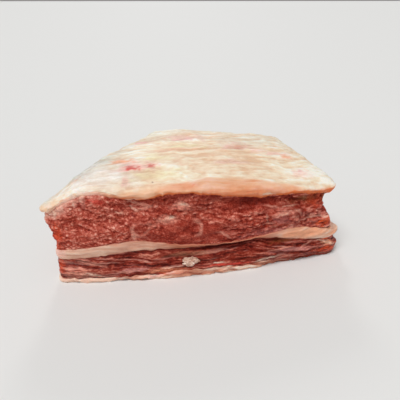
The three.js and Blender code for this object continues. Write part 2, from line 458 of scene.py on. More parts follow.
def bridge(upper, lower):
    """Faces between two rings, which have as many vertices or one twice as many as the other."""
    faces = []
    for j in range(min(len(upper), len(lower))):
        if len(upper) == len(lower):
            k = (j + 1) % len(upper)
            faces.append((upper[j], lower[j], lower[k], upper[k]))
        elif len(upper) > len(lower):
            above = [upper[(2 * j + step) % len(upper)] for step in range(3)]
            below = [lower[(j + step) % len(lower)] for step in range(2)]
            faces.append((above[0], below[0], above[1]))
            faces.append((above[1], below[0], below[1]))
            faces.append((above[1], below[1], above[2]))
        else:
            above = [upper[(j + step) % len(upper)] for step in range(2)]
            below = [lower[(2 * j + step) % len(lower)] for step in range(3)]
            faces.append((above[0], below[0], below[1]))
            faces.append((above[0], below[1], above[1]))
            faces.append((above[1], below[1], below[2]))
    return faces


def skin_mesh(name, rings):
    """A closed mesh through rings from the top down, in millimetres, and each vertex's rise."""
    starts = np.cumsum([1] + [len(points) for points, _ in rings])
    loops = [range(start, start + len(points)) for start, (points, _) in zip(starts, rings)]
    first, last = rings[0][0].mean(axis=0), rings[-1][0].mean(axis=0)
    points = np.concatenate(([first], *(points for points, _ in rings), [last]))
    rise = np.concatenate(([rings[0][1]], *(np.full(len(p), r) for p, r in rings), [rings[-1][1]]))
    faces = []
    for j, vertex in enumerate(loops[0]):
        faces.append((0, vertex, loops[0][(j + 1) % len(loops[0])]))
    for upper, lower in itertools.pairwise(loops):
        faces.extend(bridge(upper, lower))
    for j, vertex in enumerate(loops[-1]):
        faces.append((len(points) - 1, loops[-1][(j + 1) % len(loops[-1])], vertex))
    mesh = bpy.data.meshes.new(name)
    mesh.from_pydata(points.tolist(), [], faces)
    mesh.shade_smooth()
    return mesh, points, rise


def vertex_normals(mesh):
    normals = np.empty(3 * len(mesh.vertices))
    mesh.vertex_normals.foreach_get("vector", normals)
    return normals.reshape(-1, 3)


# ---------------- relief and tone

# Each layer's detail is its relief in millimetres and its tone and veil, about 0 to 1. Tone and
# veil hold the layer's own colour and, where said below, painted light and shade. Sizes of noise
# are in millimetres too, and the number that follows them is the seed.

# Grooves in the front, cut into the relief and darkened in tone as painted shade: where each starts
# and ends in x, its reach down from the layer's top and its depth.
CAP_SHADE = dict(start=0, end=104, reach=8, depth=1.8)
CREVICE = dict(start=-28, end=66, reach=5.4, depth=2.2)

# The height over which the lower lean's streaks are spread, however thick it is at a place.
LEAN_DEPTH = 22

# Rounded bundles that stand out of the upper lean's front: the middle of each in x and z, its
# reach along them and how far it stands out.
SWELLS = (
    (57, 41, 8, 6, 1.6),
    (68.5, 41, 4.6, 5.6, 1.3),
    (-48, 43, 7, 6, 0.8),
    (-18, 40, 10, 7, 0.7),
)

# Smooth places in the upper lean's front: the middle of each in x and z, and its reach along them.
CALMS = (
    (-20, 41, 13, 8),
    (-52, 45, 7, 6),
    (57, 40, 7, 4),
    (5, 33, 16, 4),
    (-36, 33, 12, 4),
)

# The slant of the seam's pleats, the cap's hump, how far its front left is drawn in, how far its
# top counts as reaching back, and how much relief the lean keeps at its upper left rim.
PLEAT_SLANT = np.array([(0.9, 0, -0.44), (0, 1, 0), (0.44, 0, 0.9)])
HUMP_RISE = 2.4
FLUSH_DEPTH = 3.6
TOP_REACH = 55
RIM_RELIEF = 0.8

# How far the warm zone reaches up the cap's front cut, at places along x.
LIP_PLACES = (-112, -98, -84, -67, -55, -38, -20, -9, 2, 37, 48, 60, 72, 105)
LIP_REACHES = (7, 5, 4, 5, 8, 8, 10, 13, 19, 19, 13, 9, 6, 5.5)


def groove(points, drop, shape):
    """From 0 to 1, how deep a place lies in the groove that runs under a layer's front edge."""
    x, y, _ = points.T
    start, end, reach = (shape[size] for size in ("start", "end", "reach"))
    ends = smoothstep(x, start, start + 20) * smoothstep(-x, -end, 12 - end)
    front = smoothstep(-y, 20, 35)
    profile = smoothstep(drop, 0, 0.2 * reach) * smoothstep(-drop, -reach, -0.35 * reach)
    return ends * front * profile


def oval(x, z, at_x, at_z, wide, tall, sharpness):
    """From 1 in the middle of an oval place on the front to 0 outside it."""
    away = ((x - at_x) / wide) ** 2 + ((z - at_z) / tall) ** 2
    return np.exp(-(away**sharpness))


def on_wall(rise, mm_high):
    """From 0 at a layer's rims to 1 a millimetre inside them, and 0 on what is hidden."""
    edge = np.minimum(rise, 1 - rise) * mm_high
    return smoothstep(edge, 0, 1)


def cap_detail(points, rise, drop, high):
    x, y, _ = points.T
    top = smoothstep(rise, 0.7, 1)
    body = np.where(rise < 0, 0, smoothstep(rise * high, 0, 1.2))
    dents = noise(points, (22, 17, 14), 11)
    streaks = rough(warped(points, 6, 24, 31), (34, 3.4, 2.4), 12)
    pits = rough(points, (5.5, 3, 2.6), 15)
    crags = rough(points, 6, 13) * smoothstep(rise, 0.6, 0.95) * smoothstep(-rise, -1.12, -1.02)
    crags *= smoothstep(y, -10, 20)
    hump = top * np.exp(-(((x + 6) / 24) ** 2) - ((y - 52) / 16) ** 2)
    relief = 0.75 * dents * top + 0.55 * streaks + 0.9 * crags + 0.35 * pits
    relief += 0.4 * rough(points, 7, 14) * (1 - top)
    flush = smoothstep(-x, 50, 80) * smoothstep(x, -112, -98) * smoothstep(-y, 30, 45)
    flush *= np.sin(math.pi * np.clip(rise, 0, 1)) ** BULGE_FULLNESS
    relief += HUMP_RISE * hump
    # The tone follows the relief's dents, streaks and pits: painted light on the rises and painted shade in
    # the hollows, over the fat's own mottling.
    tone = 0.44 + 0.38 * dents + 0.56 * streaks + 0.42 * pits + 0.2 * smoothstep(x, 20, 80)
    front = smoothstep(-y, 30, 46)
    climb = np.where(rise > 1, high + (rise - 1) * TOP_REACH, rise * high)
    reach = np.interp(x, LIP_PLACES, LIP_REACHES) + 1.6 * noise(points, (16, 9, 9), 16)
    strata = rough(warped(points, 2, 16, 17), (34, 8, 2.4), 20)
    depth = np.clip(1 - climb / reach, 0, 1)
    peach = front * (0.5 * smoothstep(reach - climb, -2, 3) + 0.42 * depth**1.5) * (1 + 0.25 * strata)
    brim = 2.4 + 2 * smoothstep(x, 50, 66) + 1.6 * smoothstep(x, 84, 100) + 0.8 * noise(points, (9, 6, 6), 22)
    glow = np.exp(-(((x + 24) / 22) ** 2)) + smoothstep(x, 45, 66) + 0.25
    brink = front * smoothstep(brim - climb, -0.6, 2) * smoothstep(x, -72, -50) * np.minimum(glow, 1)
    veil = peach * (1 - 0.4 * smoothstep(-x, 64, 90)) + 0.5 * brink
    warm = rough(warped(points, 4, 18, 18), (40, 4, 4), 19)
    veil += 0.2 * top * smoothstep(warm, 0.1, 0.6)
    return body * relief - FLUSH_DEPTH * flush, tone, np.clip(veil, 0, 1)


def upper_detail(points, rise, drop, high):
    x, y, z = points.T
    front = 1 - smoothstep(y, -30, -10)
    left = smoothstep(-x, 35, 75) * front
    body = np.maximum(on_wall(rise, high), RIM_RELIEF * left * smoothstep(rise, 0.8, 0.95) * (rise <= 1))
    body *= 1 - 0.6 * smoothstep(x, 92, 106)
    right = np.maximum(smoothstep(x + 14 * noise(points, 16, 44), 20, 70), 1 - front)
    drawn = points.copy()
    drawn[:, 0] *= lerp(0.9, 0.6, smoothstep(x, -80, 60))
    flowing = warped(points, (3, 3, 2.5), (18, 18, 10), 45)
    bead, own = grains(warped(drawn, (1.2, 1.2, 1), 3.4, 41), (2.7, 2.7, 2.2), 42)
    dome = smoothstep(bead, 0, 0.5)
    dashes = rough(warped(drawn, 1, 5, 51), (3, 2.4, 1.3), 52)
    calm = smoothstep(noise(points, (16, 12, 8), 58), -0.1, 0.5) * (1 - left)
    for place in CALMS:
        calm = np.maximum(calm, front * oval(x, z, *place, 2))
    bundle, bundle_own = grains(warped(points, 3, 8, 49), (13, 9, 8), 50)
    presence = noise(points, 14, 53)
    parting = smoothstep(-bundle, -0.12, 0) * smoothstep(presence, -0.1, 0.3)
    folds = lerp(0.3, 1, right) * rough(flowing, (24, 9, 3.4), 46)
    crease = right * (1 - smoothstep(np.abs(noise(flowing, (30, 10, 4.4), 59)), 0, 0.12))
    lumps = rough(points, (13, 9, 7), 47)
    swells = sum(rise_by * front * oval(x, z, *place, 1.5) for *place, rise_by in SWELLS)
    shade = groove(points, drop / lerp(1, 1.4, smoothstep(x, 45, 75)), CAP_SHADE)
    relief = (0.55 * (1 - 0.75 * calm) * (dome - 0.6) + 0.7 * folds + 0.7 * lumps
              - 0.25 * parting - 0.4 * crease)
    relief += 0.55 * (1 - 0.5 * calm) * dashes + 0.7 * left * smoothstep(-drop, -6, -1) + swells
    specks = noise(points, (2, 2, 1.5), 57)
    tone = 0.35 + (1 - 0.6 * calm) * (0.26 * dome + 0.2 * (own - 0.5) + 0.36 * dashes) + 0.12 * lumps
    tone += (0.34 * specks + 0.1 * dashes + 0.1 * folds) * right - 0.04 * (1 - left) * (1 - right)
    tone += 0.22 * folds + 0.1 * left + 0.16 * (bundle_own - 0.5) - 0.08 * parting - 0.2 * crease
    # Its last term darkens the groove under the cap's edge: painted shade.
    tone += 0.02 * smoothstep(x, 20, 50) - 0.08 * smoothstep(x, 74, 92) - 0.1 * shade
    # Painted highlights: pale wet glints in the middle of the beads.
    painted_glints = smoothstep(bead + 0.5 * dashes, 0.4, 0.85) * smoothstep(own, 0.25, 0.55)
    veil = painted_glints * lerp(0.5, 0.8, left) * (1 - 0.8 * calm)
    mist = smoothstep(rough(flowing, (20, 9, 6), 61), 0.1, 0.6) * (1 - left)
    veil += 0.25 * mist * smoothstep(dashes, -0.4, 0.4)
    threads = right * (1 - smoothstep(np.abs(noise(flowing, (34, 10, 3), 55)), 0.02, 0.1))
    veil += 0.4 * threads * smoothstep(noise(points, (5, 5, 12), 56) + 0.5 * dashes, -0.1, 0.3)
    # Painted highlights: pale dotted glints on the right.
    veil += 0.35 * right * smoothstep(specks + 0.5 * dashes, 0.4, 0.8) * smoothstep(presence, -0.3, 0.2)
    wisps = smoothstep(noise(points, (1.5, 4, 8), 54) + 0.3 * dashes, 0.2, 0.7) * smoothstep(-drop, -15, -4)
    reach = lerp(4, 9, smoothstep(-x, 84, 104))
    climb = (4 * noise(points, 4, 60) + 2 * dashes - drop) / reach
    fade = smoothstep(-x, 66, 100) * front * smoothstep(climb, -1, 0)
    veil += 0.4 * left * wisps + 0.7 * fade
    # The groove under the cap is cut into the relief, and its veil is taken away as painted shade.
    return body * relief - CAP_SHADE["depth"] * shade, tone, np.clip(veil, 0, 1) * (1 - shade)


def lower_detail(points, rise, drop, high):
    x = points[:, 0]
    edge = np.minimum(rise, 1 - rise) * high
    body = smoothstep(edge, 0, 1.6) * (1 - 0.4 * smoothstep(x, 92, 106))
    along = points.copy()
    along[:, 2] = np.clip(rise, 0, 1) * LEAN_DEPTH + 0.12 * np.minimum(x + 30, 0)
    flowing = warped(along, (2.5, 2.5, 2.6), (26, 26, 14), 61)
    folds = rough(flowing, (44, 12, 4.2), 62)
    strands = rough(flowing, (22, 8, 1.4), 63)
    threads = rough(flowing, (15, 6, 1), 69)
    crease = 1 - smoothstep(np.abs(noise(flowing, (38, 14, 3.6), 64)), 0, 0.16)
    crevice = groove(points, drop, CREVICE)
    relief = 0.9 * folds + 0.5 * strands + 0.25 * threads - 0.5 * crease
    left = smoothstep(-x, 30, 70)
    tone = 0.4 + 0.38 * strands + 0.34 * folds + 0.4 * threads + 0.32 * rough(points, (2.6, 2, 1.2), 65)
    # The crevice and the top 3 millimetres under the seam are darkened here, as painted shade.
    tone -= 0.16 * crease + 0.16 * crevice
    tone += 0.02 * left + 0.05 * smoothstep(x, 40, 70) - 0.14 * smoothstep(-drop, -3, 0)
    pale = smoothstep(rough(flowing, (26, 9, 1.8), 66) + 0.12 * left + 0.2 * threads, 0.15, 0.5)
    sinew = 1 - smoothstep(np.abs(noise(flowing, (44, 9, 2), 67)), 0.03, 0.13)
    sinew *= smoothstep(noise(flowing, (20, 12, 7), 68), 0, 0.4)
    # Pale strands fade out in the crevice under the seam, painted shade too.
    veil = np.clip(0.5 * pale + 0.5 * sinew, 0, 1) * (1 - crevice)
    return body * relief - CREVICE["depth"] * crevice * smoothstep(x, -40, 40), tone, veil


def seam_detail(points, rise, drop, high):
    x, y, _ = points.T
    body = on_wall(rise, high)
    flowing = warped(points, 1.5, 16, 71)
    strands = rough(flowing, (22, 8, 1.7), 72)
    swelling = smoothstep(x, 66, 84) * smoothstep(-y, 0, 30)
    pleats = swelling * rough(points @ PLEAT_SLANT, (12, 6, 1.8), 77)
    relief = body * (0.35 * strands + 0.4 * noise(points, (9, 6, 5), 73) + 0.7 * pleats)
    # Where the seam is thin its tone falls: partly the thin fat's own colour, partly painted shade.
    thin_and_shaded = smoothstep(-high + 1.5 * noise(points, 14, 76), -8.5, -3)
    tone = (0.66 + 0.28 * strands + 0.2 * noise(points, (22, 14, 9), 74) - 0.85 * thin_and_shaded
            + 0.3 * pleats + 0.1 * swelling)
    tone -= 0.3 * np.exp(-(((x + 42) / 26) ** 2))
    edge = np.minimum(rise, 1 - rise) * high
    veil = (1 - smoothstep(edge, 0, 0.9)) + 0.4 * smoothstep(rough(flowing, (14, 6, 2), 75), 0.2, 0.6)
    return relief, tone, np.clip(veil, 0, 1)


def base_detail(points, rise, drop, high):
    x, y, _ = points.T
    body = np.where(rise > 1, 0, smoothstep(np.minimum(rise + 0.15, 1 - rise) * high, 0, 0.8))
    body = np.where(rise <= 0, 0, body)
    loose = warped(points, 2.4, 8, 81)
    flaps = rough(loose, (13, 7, 2.6), 82)
    trimmed = smoothstep(-x, 50, 75) * smoothstep(-y, 20, 35)
    relief = body * (lerp(1.3, 0.5, trimmed) * flaps + 0.5 * rough(points, 3, 83) + 0.8 * trimmed)
    tone = 0.48 + 0.6 * flaps + 0.3 * noise(points, (16, 12, 6), 84) + 0.2 * trimmed
    veil = np.maximum(smoothstep(rough(loose, (16, 8, 2), 85), 0.05, 0.5), 0.7 * trimmed)
    return relief, tone, veil


def scrap_detail(points, rise, drop, high):
    relief = 0.85 * rough(points, 2, 91)
    tone = 0.5 + 0.6 * rough(points, 2.6, 92)
    return relief, tone, smoothstep(rough(points, 2, 93), 0.1, 0.6)


DETAILS = {
    "fat_cap": cap_detail,
    "upper_lean": upper_detail,
    "lower_lean": lower_detail,
    "fat_seam": seam_detail,
    "base_fat": base_detail,
    "fat_scrap": scrap_detail,
}


# ---------------- marks


def linear(red, green, blue):
    """A colour from its screen values, 0 to 255."""
    parts = np.array((red, green, blue)) / 255
    return tuple(np.where(parts <= 0.04045, parts / 12.92, ((parts + 0.055) / 1.055) ** 2.4))


# The marks' colours. Dusk also gives painted shade, and pith and blush also give painted highlights, at the
# patches that say so.
MARK_AND_SHADING_COLOURS = {
    "blood": linear(214, 70, 58),
    "ember": linear(216, 78, 42),
    "flame": linear(250, 104, 54),
    "amber": linear(234, 158, 118),
    "rose": linear(236, 184, 172),
    "blush": linear(224, 150, 130),
    "mauve": linear(214, 146, 146),
    "butter": linear(226, 210, 146),
    "milk": linear(236, 206, 184),
    "frost": linear(206, 212, 205),
    "pearl": linear(234, 226, 222),
    "pith": linear(234, 174, 152),
    "tan": linear(184, 122, 94),
    "lilac": linear(190, 124, 118),
    "dusk": linear(128, 34, 12),
    "olive": linear(118, 68, 32),
}

# Each patch: its colour (a stain, except where a patch below is said to be painted shade or a
# painted highlight), its middle, its half sizes along x, y and z, how many degrees it climbs to the
# right, and its strength. Places are counted from MARKS_ORIGIN, a point of the plan.
MARKS_ORIGIN = np.array([-0.83, 4.22, 0])
PATCHES = {
    "fat_cap": (
        ("frost", (-90, -10, 72), (45, 36, 20), 0, 0.85),
        ("pearl", (-76, -38, 76), (30, 24, 16), 0, 0.6),
        ("butter", (-34, -42, 78), (20, 11, 12), 0, 0.35),
        ("frost", (-30, 40, 82), (50, 26, 20), 0, 0.3),
        ("frost", (48, 16, 76), (40, 26, 20), 0, 0.3),
        ("rose", (-48, -30, 79), (15, 9, 9), 0, 0.75),
        ("blood", (-50, -31.5, 79), (6, 4, 9), 0, 1),
        ("amber", (-57, -19, 80), (10, 5, 9), 0, 0.8),
        ("rose", (-36, -29, 79), (7, 6, 9), 0, 0.6),
        ("blood", (-36, -30, 79), (2.6, 3, 9), 0, 0.9),
        ("rose", (-56, -48, 75), (3, 9, 9), 0, 0.8),
        ("dusk", (-37, -51, 75), (0.9, 1.2, 9), 0, 0.8),
        ("amber", (-91.5, -31, 69), (4.5, 6, 6), 0, 0.85),
        ("mauve", (-38, 21.5, 81), (10, 3, 9), 0, 0.7),
        ("rose", (-2, 22, 82), (16, 10, 9), 0, 0.8),
        ("mauve", (-4, 18, 82), (8, 3, 9), 0, 0.8),
        ("butter", (-5, 3.5, 82), (16, 6, 9), 0, 0.4),
        ("amber", (-12, -4, 82), (22, 3.4, 9), 0, 0.6),
        ("butter", (-31, -17, 81), (11, 7, 9), 0, 0.35),
        ("rose", (37, -1, 80), (15, 8, 9), 0, 0.8),
        ("amber", (40, 0.5, 80), (6, 1.6, 9), 0, 0.8),
        ("blood", (38, -3.6, 80), (5, 1.8, 9), 0, 0.6),
        ("rose", (54, -9, 78), (9, 5, 9), 0, 0.4),
        ("rose", (26, -28, 78), (16, 4, 9), 0, 0.7),
        ("amber", (75, -18, 75), (5, 4, 9), 0, 0.7),
        ("rose", (68, -13, 76), (12, 4, 9), 0, 0.6),
        ("rose", (78, -41, 68), (9, 9, 9), 0, 0.45),
        ("mauve", (79, -38, 69), (3, 2, 9), 0, 0.5),
        ("rose", (-90, -52, 65), (22, 9, 3), 18, 0.75),
        ("milk", (46, -62, 63), (6.4, 8, 1.6), -6, 0.9),
        ("milk", (-53, -58, 66), (7, 8, 1), 6, 0.6),
    ),
    "upper_lean": (
        ("ember", (-106.5, -49, 40), (3.6, 9, 9), 0, 0.6),
        ("ember", (-108, -46, 29), (3, 9, 6), 0, 0.5),
        ("blood", (-77, -54, 65.4), (7, 9, 2.2), -8, 0.6),
        ("dusk", (-96, -51, 52.4), (10, 9, 0.9), 14, 0.85),
        ("dusk", (-64, -56, 51), (6, 9, 0.9), 25, 0.7),
        ("dusk", (-92, -53, 38), (6, 9, 3), 0, 0.4),
        ("dusk", (-66, -56, 39), (7, 9, 4), 0, 0.45),
        ("pith", (-52, -56, 63.4), (5, 9, 1.2), -10, 0.7),
        # Painted shade under the cap's edge.
        ("dusk", (-50, -57, 63.5), (12, 9, 2.4), 0, 0.5),
        ("blush", (-44, -57, 60.6), (7, 9, 1.8), -10, 0.8),
        ("pith", (-52, -56, 58.8), (4.5, 9, 1.1), -35, 0.75),
        ("blush", (-45, -57, 58), (7, 9, 1.4), 15, 0.7),
        ("pith", (-62, -56, 56), (5, 9, 0.8), -8, 0.7),
        ("blush", (-53, -59, 38), (3, 9, 4.5), 0, 0.8),
        ("pith", (-52.5, -59, 37), (1.4, 9, 3), 0, 0.5),
        ("blush", (-30, -60, 49), (9, 9, 4), 8, 0.65),
        ("pith", (-27, -60, 50.6), (5, 9, 1.6), 8, 0.85),
        ("milk", (-26, -60, 50.8), (2.6, 9, 0.9), 8, 0.7),
        ("blush", (-18, -59, 58.6), (8, 9, 4), -12, 0.6),
        ("pith", (-17, -59, 60), (4.6, 9, 1.5), -12, 0.8),
        ("milk", (-17, -59, 60.2), (2.4, 9, 0.8), -12, 0.6),
        # The next two patches: painted shade under the cap's edge.
        ("dusk", (-36, -57, 64.5), (14, 9, 3.6), 0, 0.5),
        ("dusk", (4, -59, 62), (16, 9, 3), -4, 0.5),
        ("dusk", (-2, -60, 54), (6, 9, 2), 0, 0.4),
        ("blush", (13, -62, 34), (7, 9, 1.3), -35, 0.8),
        ("dusk", (62, -58, 50.6), (16, 9, 1.6), -4, 0.6),
        ("lilac", (57, -59, 40.4), (8, 9, 4.4), 0, 0.5),
        # Painted highlight on the top of the swelling at x 57, and below it painted shade along its lower
        # edge.
        ("pith", (59, -59, 44.6), (5.6, 9, 1.3), 4, 0.95),
        ("dusk", (57, -59, 36.4), (8, 9, 1.2), 0, 0.6),
        ("pith", (46.6, -60, 42.4), (1, 9, 4), 6, 0.6),
        ("pith", (48, -60, 38.6), (4, 9, 0.9), -10, 0.5),
        # Painted highlight on the swelling at x 68.5.
        ("blush", (69, -59, 41.4), (4, 9, 3), -20, 0.5),
        ("blush", (50, -58, 52), (8, 9, 0.9), -16, 0.65),
        ("pith", (64, -58, 50.2), (8, 9, 0.8), 2, 0.6),
        # The next two patches are a painted highlight: a pale wet strip.
        ("blush", (86, -57, 38.8), (14, 9, 1.3), 2, 0.75),
        ("pith", (86, -57, 38.6), (10, 9, 0.8), 2, 0.7),
        ("lilac", (48, -60, 31), (24, 9, 3.4), 0, 0.4),
        ("olive", (84, -57, 53.6), (18, 9, 4.6), -6, 0.8),
        ("dusk", (68, -58, 47.4), (10, 9, 2), 0, 0.6),
        ("dusk", (72, -58, 35.4), (9, 9, 3), 0, 0.6),
        ("amber", (98, -50, 54), (5, 16, 8), 0, 0.65),
        ("ember", (88, -55, 52), (12, 12, 8), 0, 0.4),
        ("flame", (97, -50, 33.6), (9, 14, 4), 0, 1),
        ("blush", (106, -46, 40), (5, 14, 4), 0, 0.6),
        ("milk", (96, -55, 37.6), (5, 9, 0.5), 0, 0.7),
    ),
    "lower_lean": (
        ("ember", (-106.5, -48, 13), (3, 9, 7), 0, 0.6),
        # Painted shade under the seam's edge.
        ("dusk", (-88, -55, 20.4), (18, 9, 1.8), 4, 0.6),
        ("blush", (-86, -55, 15.6), (12, 9, 1.4), -14, 0.9),
        ("blush", (-97, -54, 12.8), (10, 9, 1.3), -3, 0.85),
        ("blush", (-94, -55, 9), (12, 9, 1.6), -6, 0.85),
        ("milk", (-84, -56, 6.8), (8, 9, 1.1), -15, 0.7),
        ("blush", (-96, -54, 4.4), (12, 9, 1.3), 0, 0.8),
        ("lilac", (-56, -59, 9.2), (13, 9, 2.2), 9, 0.85),
        ("blush", (-61, -58, 7.8), (10, 9, 1.2), 8, 0.6),
        ("tan", (-13, -61, 19.8), (20, 9, 2), 0, 0.6),
        ("amber", (-30, -61, 7.6), (16, 9, 2.6), 0, 0.5),
        ("ember", (-20, -61, 5), (22, 9, 3.4), 0, 0.5),
        ("blood", (16, -63, 8.2), (17, 9, 1.5), -3, 1),
        ("milk", (9, -62, 10.2), (6, 9, 0.7), 0, 0.9),
        ("dusk", (34, -62, 12), (26, 9, 5), 0, 0.35),
        ("olive", (60, -58, 21.4), (11, 9, 2.2), 0, 0.6),
        ("lilac", (68, -59, 12.6), (18, 9, 2.2), -4, 0.75),
        ("blush", (58, -60, 15.2), (11, 9, 1), 3, 0.75),
        ("blush", (82, -57, 15), (9, 9, 0.9), 24, 0.8),
        ("dusk", (88, -57, 18), (12, 9, 2), 0, 0.55),
        ("milk", (48, -61, 8), (11, 9, 1.2), 3, 0.9),
        ("blush", (64, -60, 6.6), (10, 9, 0.9), 6, 0.7),
        ("ember", (107, -46, 17), (11, 16, 4), 0, 1),
        ("ember", (105, -48, 7.4), (11, 16, 4.4), 0, 0.95),
        ("milk", (101, -54, 13), (9, 9, 1.7), -28, 0.95),
        ("amber", (101, -49, 12.2), (6, 12, 2.8), -20, 0.85),
        ("flame", (101, -48, 16.6), (6, 12, 1.6), 0, 0.9),
    ),
    "fat_seam": (
        ("rose", (-108, -48, 25), (6, 9, 6), 0, 0.7),
        ("milk", (113, -46, 25), (5, 12, 4), 0, 0.9),
        ("amber", (80, -59, 26), (28, 12, 8), 0, 0.75),
        ("amber", (104, -52, 21), (8, 12, 2.4), 0, 0.6),
    ),
    "base_fat": (
        ("dusk", (-62, -58, 3), (8, 12, 3), 0, 0.5),
        ("rose", (-40, -61, 3), (8, 9, 2), 10, 0.8),
        ("milk", (-33, -61, 1.6), (9, 9, 1.1), 4, 0.8),
        ("ember", (-24, -61, 5), (12, 9, 2), 0, 0.5),
        ("milk", (6, -62, 5), (12, 9, 1.8), 4, 0.7),
        ("ember", (30, -62, 6), (14, 9, 2), 6, 0.5),
        # Painted shadow where the lowest edge draws back under the block at the right.
        ("dusk", (90, -54, 2), (40, 16, 8), 0, 0.95),
    ),
    "fat_scrap": (),
}

# Each arc of connective tissue: its colour, the middle of its loop, its radii along x and z, the
# direction of its strongest part in degrees, and its strength.
ARCS = {
    "upper_lean": (
        ("blush", (58, -59, 41), (7.6, 5.6), 90, 0.7),
        ("dusk", (57.4, -59, 40.6), (9, 6.8), 200, 0.6),
        ("pith", (69.5, -58, 41), (4.6, 5.4), 60, 0.45),
        ("blush", (-47.6, -60, 43.6), (6.6, 6), 200, 0.8),
        ("blush", (-47, -60, 44.4), (6, 5.6), 330, 0.5),
        ("blush", (-12, -62, 40.6), (7.6, 7.4), 10, 0.8),
    ),
}
ARC_WIDTH = 0.32

# A patch fades in between these distances from its middle, in its half sizes and counted inwards.
PATCH_EDGE = (-1.3, -0.2)


def lay_on(marks_and_shading, chosen, cover, colour):
    """Lays a mark over the marks before it, at the chosen vertices."""
    left = marks_and_shading[chosen, 3] * (1 - cover)
    total = np.maximum(left + cover, 1e-6)[:, None]
    marks_and_shading[chosen, :3] = (marks_and_shading[chosen, :3] * left[:, None] + np.outer(cover, MARK_AND_SHADING_COLOURS[colour])) / total
    marks_and_shading[chosen, 3] = left + cover


def paint_marks_and_shading(name, points, tone):
    """The colour and cover of a layer's marks, painted shading among them, stronger and lighter where its
    tone is light.
    """
    marks_and_shading = np.zeros((len(points), 4))
    patchy = np.clip(0.62 + 0.7 * tone, 0.55, 1.05)
    ragged = warped(points, (0.8, 0.8, 0.5), 3, 101) - MARKS_ORIGIN
    for colour, middle, radii, climb, strength in PATCHES[name]:
        away = ragged - middle
        chosen = np.flatnonzero(np.linalg.norm(away, axis=1) < 1.6 * max(radii))
        turn = math.radians(climb)
        x, y, z = away[chosen].T
        along = x * math.cos(turn) + z * math.sin(turn)
        spread = np.stack((along, y, z * math.cos(turn) - x * math.sin(turn)), axis=-1)
        fray = rough(spread, np.maximum(0.45 * np.array(radii), 0.8), 104)
        distance = np.linalg.norm(spread / radii, axis=1) + 0.7 * fray
        lay_on(marks_and_shading, chosen, strength * patchy[chosen] * smoothstep(-distance, *PATCH_EDGE), colour)
    for colour, middle, (wide, high), side, strength in ARCS.get(name, ()):
        away = ragged - middle
        chosen = np.flatnonzero(np.linalg.norm(away, axis=1) < 2 * max(wide, high))
        x, _, z = away[chosen].T
        distance = np.hypot(x / wide, z / high) + 0.22 * rough(away[chosen], 4, 105)
        facing = smoothstep(np.cos(np.arctan2(z, x) - math.radians(side)), 0, 1) * patchy[chosen]
        line = 1 - smoothstep(np.abs(distance - 1), 0, ARC_WIDTH)
        lay_on(marks_and_shading, chosen, strength * facing * line, colour)
    marks_and_shading[:, :3] *= np.clip(0.8 + 0.4 * tone, 0.7, 1.15)[:, None]
    return marks_and_shading


# ---------------- materials


def add(tree, kind, inputs=None, **settings):
    """A shader node with its settings, and its inputs linked or set."""
    made = tree.nodes.new(kind)
    for name, value in settings.items():
        setattr(made, name, value)
    for name, value in (inputs or {}).items():
        socket = made.inputs[name]
        if isinstance(value, bpy.types.NodeSocket):
            tree.links.new(value, socket)
        else:
            socket.default_value = value
    return made


def maths(tree, operation, *values):
    return add(tree, "ShaderNodeMath", dict(enumerate(values)), operation=operation).outputs[0]


def blend(tree, factor, first, second, mode="MIX"):
    """Two colours mixed: sockets 0, 6 and 7 are the factor and the colours."""
    made = add(tree, "ShaderNodeMix", {0: factor, 6: first, 7: second}, data_type="RGBA", blend_type=mode)
    return made.outputs[2]


def ramp(tree, factor, stops):
    made = add(tree, "ShaderNodeValToRGB", {"Fac": factor})
    elements = made.color_ramp.elements
    while len(elements) < len(stops):
        elements.new(1)
    for element, (place, colour) in zip(elements, stops):
        element.position = place
        element.color = (*linear(*colour), 1)
    return made.outputs["Color"]


def fine_noise(tree, coords, size, stretch=(1, 1, 1), detail=3):
    """Noise from 0 to 1 with grains of the size given in millimetres."""
    scale = tuple(1 / s for s in stretch)
    spread = add(tree, "ShaderNodeMapping", {"Vector": coords, "Scale": scale}).outputs["Vector"]
    inputs = {"Vector": spread, "Scale": 1 / (size * MM), "Detail": detail, "Roughness": 0.6}
    return add(tree, "ShaderNodeTexNoise", inputs).outputs["Fac"]


